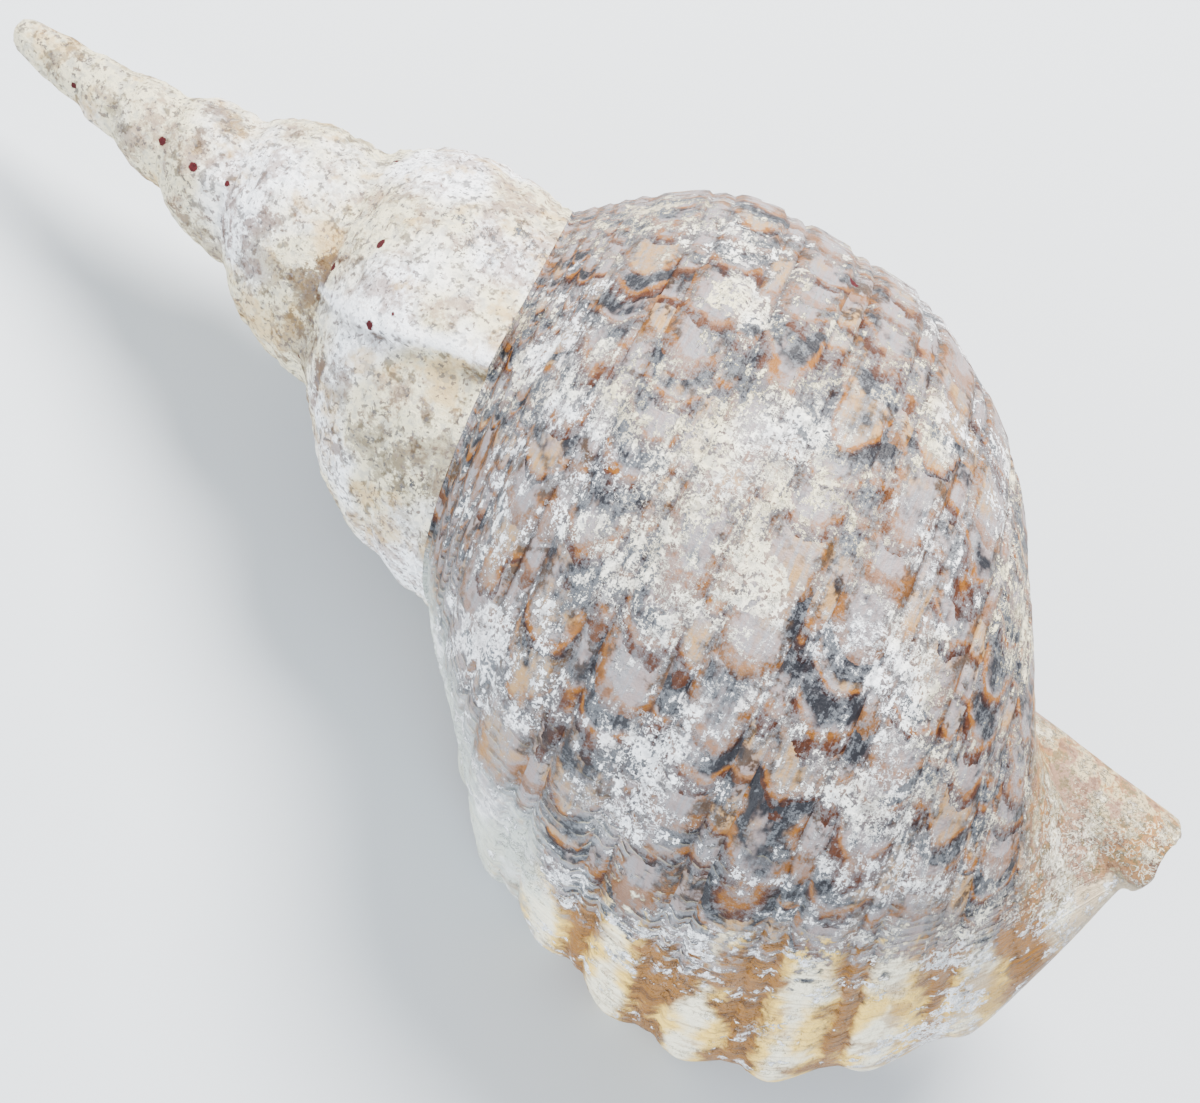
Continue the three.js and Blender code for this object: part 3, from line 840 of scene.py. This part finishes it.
class WornShell(Finish):
    """The outside: crescents on spiral cords, under a ragged lime crust that thins towards the lip."""

    def __init__(self, colours, placed, next_suture):
        super().__init__("worn_shell")
        self.colours = colours
        self.placed = placed
        self.spot = self.node("ShaderNodeTexCoord", {}, {}, "Object")
        self.turn, self.length = self.split(self.node("ShaderNodeUVMap", {"uv_map": "growth"}, {}))
        self.wander = self.grain("wander")
        self.fray = self.grain("fray")
        self.patches = self.grain("patches")
        self.find_cords()
        self.find_regions(next_suture)

    def grain(self, name):
        return self.noise(self.spot, *GRAINS[name])

    def streak(self, name):
        per_turn, per_length, detail, roughness = STREAKS[name]
        return self.noise(self.vector(self.turn * per_turn, self.length * per_length), 1.0, detail, roughness)

    def find_cords(self):
        """Which cord a place is on, and how far across it."""
        self.place = (self.length - CORD_PHASE) / CORD_PITCH + (self.wander - 0.5) * 0.16
        main = self.place.floor()
        off_main = self.place - main - 0.5
        self.narrow = off_main.abs().over(GROOVE_OFFSET)
        self.fine = self.length.under(FINE_CORDS_END)
        narrow_off = ((self.place + 0.5).fract() - 0.5) * 3.6
        fine_place = self.length / FINE_CORD_PITCH + (self.wander - 0.5) * 0.2
        fine_off = fine_place.fract() - 0.5
        broad_off = off_main * 1.3
        self.off_middle = self.choose(
            self.fine, fine_off, self.choose(self.narrow, narrow_off, broad_off))
        narrow_cord = (self.place + 0.5).floor() + 0.5
        self.cord = self.choose(
            self.fine, fine_place.floor() + 50.0, self.choose(self.narrow, narrow_cord, main))
        beside = (off_main.abs() - GROOVE_OFFSET).abs()
        fine_groove = self.off_middle.abs().above(0.38, 0.5)
        self.groove = self.choose(self.fine, fine_groove, 1 - beside.above(0.0, 0.05))

    def find_regions(self, next_suture):
        turn, length = self.turn, self.length
        # the lip's band widens towards the canal
        edge = turn + length.above(0.4, 0.68) * 0.042 + (self.wander - 0.5) * 0.12 + (self.fray - 0.5) * 0.13
        self.at_lip = edge.above(*LIP_BAND)
        self.near_lip = (turn + (self.wander - 0.5) * 0.12).above(*LIP_SCALES)
        self.bend = (self.off_middle * self.off_middle) * (1 - self.narrow * 0.6)
        self.spire = 1 - turn.above(*SPIRE_END)
        self.far_side = 1 - turn.above(*FAR_SIDE_END)
        self.canal = length.above(*CANAL)
        # Along the old lips: a painted highlight (crest) on each ridge and a painted shadow (under) where it
        # drops.
        self.crest, self.under = 0.0, 0.0
        for varix, _ in SHADED_VARICES:
            slant = (0.5 - length / next_suture) * VARIX_SLANT
            past = turn - varix - slant + (self.fray - 0.5) * 0.008
            # painted highlight along the ridge's crest
            painted_lit_ridge = (past + 0.014).above(0.0, 0.01) * (0.004 - past).above(0.0, 0.004)
            # painted shadow just past the ridge, where it drops
            shadow = (past - 0.003).above(0.0, 0.004) * (0.022 - past).above(0.0, 0.014)
            self.crest = painted_lit_ridge + self.crest
            self.under = shadow + self.under
        ragged = (self.wander - 0.5) * 0.2 + (self.fray - 0.5) * 0.12
        upper = (0.38 - length + ragged).above(-0.02, 0.08)
        self.lip_side = upper * (turn + ragged * 0.4).above(-0.16, -0.09)
        self.lip_lines = self.streak("lip lines")
        self.growth_streaks = self.streak("growth")
        self.cord_streaks = self.streak("cord")

    def crescents(self):
        """Pale tiles along each cord, edged with ochre, rust and maroon, among charcoal patches."""
        c = self.colours
        per_turn = self.choose(self.fine, FINE_TILES, self.choose(self.narrow, NARROW_TILES, BROAD_TILES))
        phase = self.chance(self.vector(self.cord, 3.0, 7.0)) * 5.0
        drift = self.noise(self.vector(self.turn * 11.0, self.cord * 7.3), 1.0, 2.0) * 3.4
        bow = self.off_middle * self.off_middle * (2.3 - self.narrow * 1.8)
        wobble = (self.wander - 0.5) * 1.7 + (self.fray - 0.5) * 0.4
        along = self.turn * per_turn + phase + drift + bow + wobble
        cell = along.floor()
        step = along - cell
        luck = self.chance(self.vector(cell, self.cord, 1.0))
        other_luck = self.chance(self.vector(cell, self.cord, 5.0))
        shade = self.noise(self.vector(self.turn * 24.0 + bow * 0.3, self.length * 13.0), 1.0, 4.0, 0.62)
        dark = (luck * 0.3 + shade * 1.3).above(0.76, 0.88)
        warmth = self.grain("warmth") + (other_luck - 0.5) * 0.35
        pale = self.blend(c.pearl, c.cream, warmth.above(0.52, 0.66))
        pale = self.blend(pale, c.veil, self.cord_streaks.above(0.46, 0.62) * 0.5)
        pale = self.blend(pale, c.umber_and_shade, (self.fray - 0.5).above(0.02, 0.2) * 0.45)
        side_tone = self.blend(c.ochre, c.umber_and_shade, self.fray.above(0.36, 0.56))
        side = (self.off_middle.abs() + (self.fray - 0.5) * 0.6 + (self.wander - 0.5) * 0.4).above(0.2, 0.34)
        side = self.choose(self.narrow, (shade + self.fray - 1.0).above(-0.06, 0.06), side)
        tone = self.blend(pale, side_tone, side * 0.92)
        tone = self.blend(tone, c.slate, (0.5 - step + (self.fray - 0.5) * 0.8).above(-0.1, 0.12) * dark)
        past = step - 0.46 - other_luck * 0.26
        tone = self.blend(tone, c.ochre, past.above(-0.03, 0.08) * (luck * 0.7 + 0.5))
        tone = self.blend(tone, c.rust, past.above(0.1, 0.24) * luck.above(0.1, 0.5))
        tone = self.blend(tone, c.maroon, step.above(0.8, 0.94) * (0.25 + dark * 0.75))
        return self.blend(tone, c.maroon, self.groove * self.patches.above(0.34, 0.6) * 0.85)

    def near_lip_scales(self, tone):
        """Thin overlapping growth edges before the lip: blue-grey with charcoal, ochre here and there."""
        c = self.colours
        lines = (self.turn * SCALES_PER_TURN + self.bend * 2.2 + self.wander * 3.4 + self.fray * 0.5).fract()
        layer = self.blend(c.veil, c.pearl, self.patches.above(0.46, 0.6))
        layer = self.blend(layer, c.ochre, self.grain("layers").above(0.55, 0.66) * 0.8)
        layer = self.blend(layer, c.slate, (lines + (self.fray - 0.5) * 0.9).above(0.5, 0.8) * 0.95)
        layer = self.blend(layer, c.cream_crust, (0.16 - lines).above(0.0, 0.12) * 0.5)
        return self.blend(tone, layer, self.near_lip * (self.patches + self.fray - 1.0).above(-0.16, 0.04))

    def lip(self, tone):
        """Cream on the scallops' crests, whiter at their tops as a partly painted highlight, and ochre bands
        in their troughs, with lines along the edge.
        """
        c = self.colours
        trough = 0.5 - ((self.place + 0.5).fract() - 0.5).abs()
        strength = self.grain("bands")
        band = (trough + (self.fray - 0.5) * 0.4 + (strength - 0.5) * 1.1).above(0.16, 0.36)
        whiter = self.grain("crests")
        # whiter towards the scallops' raised crests: pale lip colour, partly a painted highlight
        crest = self.blend(c.lip, c.lip_white_and_highlight, (whiter + 0.1 - trough * 0.7).above(0.42, 0.6))
        crest = self.blend(crest, c.ochre, (self.lip_lines - 0.5).above(0.0, 0.18) * 0.4)
        brown = self.blend(c.ochre, c.rust, (self.lip_lines + self.fray - 1.0).above(0.0, 0.16) * 0.75)
        lip_tone = self.blend(crest, brown, band * 0.95)
        blush = (self.grain("lip blush") + self.length.above(*LIP_END) * 0.14).above(0.54, 0.66)
        lip_tone = self.blend(lip_tone, c.canal, blush * 0.6)
        pale = self.blend(c.lime, c.pale_lip, self.grain("lip side").above(0.3, 0.5))
        pale = self.blend(pale, c.veil, (self.growth_streaks - 0.5).above(0.02, 0.16) * 0.5)
        tone = self.blend(tone, lip_tone, self.at_lip)
        return self.blend(tone, pale, self.lip_side * 0.9)

    def canal_stain(self, tone):
        c = self.colours
        mottle = self.grain("canal mottle")
        stain = self.blend(c.canal, c.pearl, self.grain("canal pearl").above(0.42, 0.58) * 0.45)
        stain = self.blend(stain, c.cream_crust, self.grain("canal cream").above(0.48, 0.55) * 0.6)
        stain = self.blend(stain, c.rust, (mottle - 0.5).above(0.03, 0.12) * 0.55)
        stain = self.blend(stain, c.olive, (0.48 - mottle).above(0.0, 0.07) * 0.8)
        return self.blend(tone, stain, self.canal * (1 - self.at_lip) * 0.95)

    def near(self, places, breakup, reach):
        """1 near any of the places and 0 away from them, with an edge that the breakup frays."""
        nearest = 9.0
        for point, radius in places:
            settings = {"operation": "DISTANCE"}
            gap = Value(self, self.node("ShaderNodeVectorMath", settings, {0: self.spot, 1: point}, 1))
            nearest = (gap / radius).math("MINIMUM", nearest)
        return ((breakup - 0.5) * reach + 1.1 - nearest).above(0.0, 0.3)

    def crust(self, tone):
        """Lime flakes with lacy edges, a thin veil round them, the pits and stains in them, and painted
        highlight and shadow along the old lips.
        """
        c = self.colours
        flakes = (self.grain("flakes") - 0.5) * FLAKE_CONTRAST + 0.5
        blots = self.grain("blots")
        streaks = self.choose(self.near_lip, self.growth_streaks, self.cord_streaks)
        patch = self.near(self.placed["lime"], self.patches, 4.0)
        foot = self.length.above(*LIP_END)
        bits = self.at_lip * (self.grain("lip bits") + foot * 0.06).above(0.5, 0.62)
        bias = self.spire * SPIRE_SHARE - self.at_lip * (0.075 - foot * 0.04) + bits * 0.085 \
            + self.far_side * (1 - self.spire) * 0.012 - self.lip_side * 0.02 \
            - self.canal * 0.035 + patch * 0.07
        lay = flakes * FLAKE_SHARE + self.patches * PATCH_SHARE + blots * BLOT_SHARE \
            + streaks * STREAK_SHARE + bias
        cover = lay.above(*COVER)
        veil = lay.above(*VEIL)
        flank = self.length.above(*FLANK) * (1 - self.at_lip) * (1 - self.spire)
        specks = self.grain("specks")
        dusting = (specks + (self.patches - 0.5) * 0.5 + bias * 0.5 + flank * 0.035).above(0.61, 0.63) * 0.8
        holes = self.grain("holes")
        pits = (specks - 0.5).above(0.08, 0.12).math("MAXIMUM", (holes - 0.5).above(0.1, 0.13))
        self.cover = cover.math("MAXIMUM", dusting) * (1 - pits * (0.95 - self.spire * 0.5))

        creamy = (self.grain("creamy") + flank * 0.1).above(0.4, 0.52)
        creamy = creamy * (1 - self.turn.above(*CREAM_END) * (1 - flank * 0.7))
        lime = self.blend(c.lime, c.cream_crust, creamy * 0.8)
        lime = self.blend(lime, c.veil, (0.5 - holes).above(-0.02, 0.12) * 0.45)
        stain = self.grain("stain")
        stain_tone = self.blend(c.stain, c.olive, self.grain("olive").above(0.48, 0.6) * 0.8)
        lime = self.blend(lime, stain_tone, (stain - 0.5).above(-0.02, 0.1) * (0.3 + self.spire * 0.35))
        blush = self.grain("blush")
        rosy = self.blend(c.lip, c.stain, 0.6)
        lime = self.blend(lime, rosy, (blush - 0.5).above(0.02, 0.14) * self.spire * 0.6)
        grime = (self.fray - 0.5).above(0.05, 0.16).math("MAXIMUM", (specks - 0.5).above(0.1, 0.13))
        lime = self.blend(lime, c.umber_and_shade, grime * (0.45 + self.spire * 0.25))
        # painted shadow in umber just past each old lip on the spire
        lime = self.blend(lime, c.umber_and_shade, self.under * self.spire * (stain - 0.3).above(0.0, 0.3) * 0.75)
        # painted highlight in the crust's white on each old lip's crest on the spire
        lime = self.blend(lime, c.lime, self.crest * self.spire * 0.8)
        grey = self.near(self.placed["grey"], stain, 9.0)
        brown = self.near(self.placed["brown"], stain, 9.0)
        lime = self.blend(self.blend(lime, c.umber_and_shade, grey * 0.45), c.rust, brown * 0.45)
        tone = self.blend(tone, c.veil, veil * (1 - self.at_lip * 0.8) * 0.4)
        self.flakes, self.specks, self.holes = flakes, specks, holes
        return self.blend(tone, lime, self.cover)

    def crimson_dots(self, tone):
        """Round growths on the crust, as colour alone."""
        self.dots = self.near(self.placed["crimson"], self.specks, 0.9)
        return self.blend(tone, self.colours.dot, self.dots)

    def finish(self, tone):
        """Chalky where there is crust, a soft shine on bare shell and more at the lip."""
        bare = (1 - self.cover) * (1 - self.dots)
        roughness = 0.88 - bare * (0.36 + self.at_lip * 0.16)
        # A bump reads its height three times, so the crust's rise comes from its cheapest parts
        rise = self.flakes * FLAKE_SHARE + self.patches * PATCH_SHARE + self.cord_streaks * STREAK_SHARE \
            + self.spire * SPIRE_SHARE
        height = rise.above(*RELIEF) * 0.6 + self.flakes * 0.7 + self.holes * 0.5 + self.specks * 0.2 \
            + self.cord_streaks * 0.2 + self.growth_streaks * self.turn.above(*LIP_SCALES) * 0.8
        bump = self.node("ShaderNodeBump", {}, {"Height": height, "Strength": 0.85, "Distance": 0.0016})
        self.set(Base_Color=tone, Roughness=roughness, Normal=bump, Specular_IOR_Level=0.25)
        return self.material


def outside_material(colours, growth, turned, shift):
    groups = {"crimson": CRIMSON_DOTS, "grey": GREY_STAINS, "brown": BROWN_STAINS, "lime": LIME_PATCHES}
    placed = {name: on_shell(marks, growth, turned, shift) for name, marks in groups.items()}
    f = WornShell(colours, placed, growth.next_suture)
    tone = f.canal_stain(f.lip(f.near_lip_scales(f.crescents())))
    return f.finish(f.crimson_dots(f.crust(tone)))


def inside_material(colours):
    """The glazed mouth: orange deep inside, cream at the lip with brown between the paired teeth."""
    f = Finish("mouth_glaze")
    spot = f.node("ShaderNodeTexCoord", {}, {}, "Object")
    turn, across = f.split(f.node("ShaderNodeUVMap", {"uv_map": "growth"}, {}))
    cloud = f.noise(spot, 40.0, 4.0)
    deep = 1 - turn.above(-0.25, -0.02)
    tone = f.blend(colours.lip, colours.mouth, deep * 0.7 + cloud * 0.3)
    pillar = across.above(1.0, 1.04) * (1 - across.above(1.5, 1.8))
    folds = f.noise(f.vector(turn * 8.0, across * 60.0), 1.0, 2.0)
    tone = f.blend(tone, colours.maroon, pillar * folds.above(0.5, 0.62) * 0.8)
    rim = (turn + (cloud - 0.5) * 0.03).above(-0.04, -0.025) * (1 - across.above(0.98, 1.0))
    gaps = 0.5 - ((across * 9.0 + (cloud - 0.5) * 0.5).fract() - 0.5).abs()
    tone = f.blend(tone, colours.rust, rim * (0.2 - gaps).above(0.0, 0.12) * 0.85)
    grit = f.noise(spot, 300.0, 5.0, 0.65)
    tone = f.blend(tone, colours.lime, (grit - 0.5).above(0.12, 0.18) * 0.6)
    bump = f.node("ShaderNodeBump", {}, {"Height": grit, "Strength": 0.2, "Distance": 0.0006})
    f.set(Base_Color=tone, Roughness=0.3 + grit * 0.25, Normal=bump)
    return f.material


class TRITON_OT_shell(bpy.types.Operator):
    """Grow the shell, carve its hollow and its siphonal groove, and lay it on its mouth"""

    bl_idname = "triton.shell"
    bl_label = "Triton shell"

    def execute(self, context):
        sizes = context.scene.triton_sizes
        colours = context.scene.triton_colours
        growth = Growth(sizes)
        shell = grow_outside(growth).build("shell")
        lay_crust(shell, growth)
        turned = rest_turn(sizes)
        shift = table_shift(shell, turned)
        context.scene["shell_shift"] = list(shift)
        shell.data.materials.append(outside_material(colours, growth, turned, shift))
        inside = inside_material(colours)
        for cutter in (Hollow(growth).grow().build("hollow"), grow_groove(growth).build("groove")):
            cutter.data.materials.append(inside)
            cut(shell, cutter)
        shell.data.transform(Matrix.Translation(shift) @ turned.to_4x4())
        choose(shell)
        bpy.ops.object.shade_smooth_by_angle(angle=SMOOTH_ANGLE)
        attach(shell, "root")
        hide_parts(NODE)
        return {"FINISHED"}


def table_shift(shell, turned):
    """Where the turned shell goes so that it lies on the table in the middle of its node's box."""
    corners = np.zeros(len(shell.data.vertices) * 3)
    shell.data.vertices.foreach_get("co", corners)
    corners = corners.reshape(-1, 3) @ np.array(turned).T
    low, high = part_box(NODE)
    to_middle = (Vector(low) + Vector(high) - Vector(corners.min(0)) - Vector(corners.max(0))) / 2
    return Vector((to_middle.x, to_middle.y, low[2] - corners[:, 2].min()))


class StudioSettings(bpy.types.PropertyGroup):
    """The photograph's view, in the shell's own frame, and the studio round it."""

    aim: FloatVectorProperty(
        name="Aim", description="Point at the middle of the picture", default=(0.1964, -0.0202, 0.0),
        subtype="TRANSLATION", unit="LENGTH")
    distance: FloatProperty(name="Distance", description="Camera to aim", default=0.6, unit="LENGTH")
    spin: FloatProperty(
        name="Spin", description="Slope of the shell's axis across the picture",
        default=math.radians(36.36), subtype="ANGLE")
    tilt: FloatProperty(
        name="Tilt", description="Canal end towards the camera", default=math.radians(4.16), subtype="ANGLE")
    roll: FloatProperty(
        name="Roll", description="Turn round the shell's axis", default=0.0257, subtype="ANGLE")
    pixel: FloatProperty(
        name="Pixel", description="Size of a picture pixel at the aim", default=0.0002633, unit="LENGTH")
    picture_width: IntProperty(name="Width", description="Picture width in pixels", default=1200)
    floor_tone: FloatVectorProperty(
        name="Floor", description="Colour of the plain floor", size=4, subtype="COLOR", min=0, max=1,
        default=rgb(200, 204, 208))


# Lamps: the way from the aim along the camera's axes, in metres, their size, watts and tone.
LAMPS = (
    ("key", (0.5, 0.85, 0.7), 0.6, 66, (1, 0.985, 0.96)),
    ("fill", (-0.65, -0.55, 0.9), 1.2, 28, (0.88, 0.95, 1)),
)
SKY_TONE = (0.86, 0.92, 1.0, 1.0)
SKY_STRENGTH = 1.2
SENSOR_WIDTH = 36
NEAREST_VIEW = 0.01
FLOOR_SIZE = 6
FLOOR_DROP = 0.5 * MM


def camera_axes(studio):
    """The camera's right, up and backward axes in the shell's own frame."""
    spin = Matrix.Rotation(-studio.spin, 3, "Z")
    tilt = Matrix.Rotation(-studio.tilt, 3, "Y")
    roll = Matrix.Rotation(studio.roll, 3, "X")
    return [Vector(row) for row in spin @ tilt @ roll]


class TRITON_OT_studio(bpy.types.Operator):
    """Set up the plain floor, the soft light and the photograph's camera"""

    bl_idname = "triton.studio"
    bl_label = "Studio"

    def execute(self, context):
        scene = context.scene
        studio = scene.triton_studio
        turned = rest_turn(scene.triton_sizes)
        aim = turned @ Vector(studio.aim) + Vector(scene["shell_shift"])
        axes = [turned @ axis for axis in camera_axes(studio)]
        self.camera(scene, studio, aim, axes)
        self.floor(context, studio)
        for name, way, size, watts, tone in LAMPS:
            self.soft_light(scene, name, aim, axes, way, size, watts, tone)
        world = bpy.data.worlds.new("studio")
        world.use_nodes = True
        sky = world.node_tree.nodes["Background"]
        sky.inputs["Color"].default_value = SKY_TONE
        sky.inputs["Strength"].default_value = SKY_STRENGTH
        scene.world = world
        return {"FINISHED"}

    def camera(self, scene, studio, aim, axes):
        camera = bpy.data.cameras.new("camera")
        camera.sensor_fit = "HORIZONTAL"
        camera.sensor_width = SENSOR_WIDTH
        camera.lens = SENSOR_WIDTH * studio.distance / (studio.pixel * studio.picture_width)
        camera.clip_start = NEAREST_VIEW
        holder = bpy.data.objects.new("camera", camera)
        scene.collection.objects.link(holder)
        holder.matrix_world = Matrix.Translation(aim + axes[2] * studio.distance) \
            @ Matrix(axes).transposed().to_4x4()
        scene.camera = holder

    def floor(self, context, studio):
        bpy.ops.mesh.primitive_plane_add(size=FLOOR_SIZE, location=(0, 0, -FLOOR_DROP))
        floor = context.active_object
        floor.name = "floor"
        f = Finish("plain_floor")
        f.set(Base_Color=tuple(studio.floor_tone), Roughness=0.8)
        floor.data.materials.append(f.material)

    def soft_light(self, scene, name, aim, axes, way, size, watts, tone):
        lamp = bpy.data.lights.new(name, "AREA")
        lamp.shape = "DISK"
        lamp.size = size
        lamp.energy = watts
        lamp.color = tone
        holder = bpy.data.objects.new(name, lamp)
        scene.collection.objects.link(holder)
        away = axes[0] * way[0] + axes[1] * way[1] + axes[2] * way[2]
        holder.location = aim + away
        holder.rotation_mode = "QUATERNION"
        holder.rotation_quaternion = away.to_track_quat("Z", "Y")


class TRITON_PT_panel(bpy.types.Panel):
    """Sizes, colours and the studio, with the steps that make them"""

    bl_label = "Giant triton shell"
    bl_idname = "TRITON_PT_panel"
    bl_space_type = "VIEW_3D"
    bl_region_type = "UI"
    bl_category = "Triton"

    def draw(self, context):
        layout = self.layout
        scene = context.scene
        for group in (scene.triton_sizes, scene.triton_colours, scene.triton_studio):
            column = layout.column(align=True)
            for key in group.bl_rna.properties.keys():
                if key not in ("rna_type", "name"):
                    column.prop(group, key)
        for operator in (TRITON_OT_shell, TRITON_OT_studio):
            layout.operator(operator.bl_idname)


CLASSES = (ShellSizes, ShellColours, StudioSettings, TRITON_OT_shell, TRITON_OT_studio, TRITON_PT_panel)


def register():
    for cls in CLASSES:
        bpy.utils.register_class(cls)
    bpy.types.Scene.triton_sizes = PointerProperty(type=ShellSizes)
    bpy.types.Scene.triton_colours = PointerProperty(type=ShellColours)
    bpy.types.Scene.triton_studio = PointerProperty(type=StudioSettings)


def unregister():
    del bpy.types.Scene.triton_sizes, bpy.types.Scene.triton_colours, bpy.types.Scene.triton_studio
    for cls in reversed(CLASSES):
        bpy.utils.unregister_class(cls)


def main():
    register()
    bpy.ops.triton.shell()
    bpy.ops.triton.studio()
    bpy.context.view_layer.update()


if __name__ == "__main__":
    main()
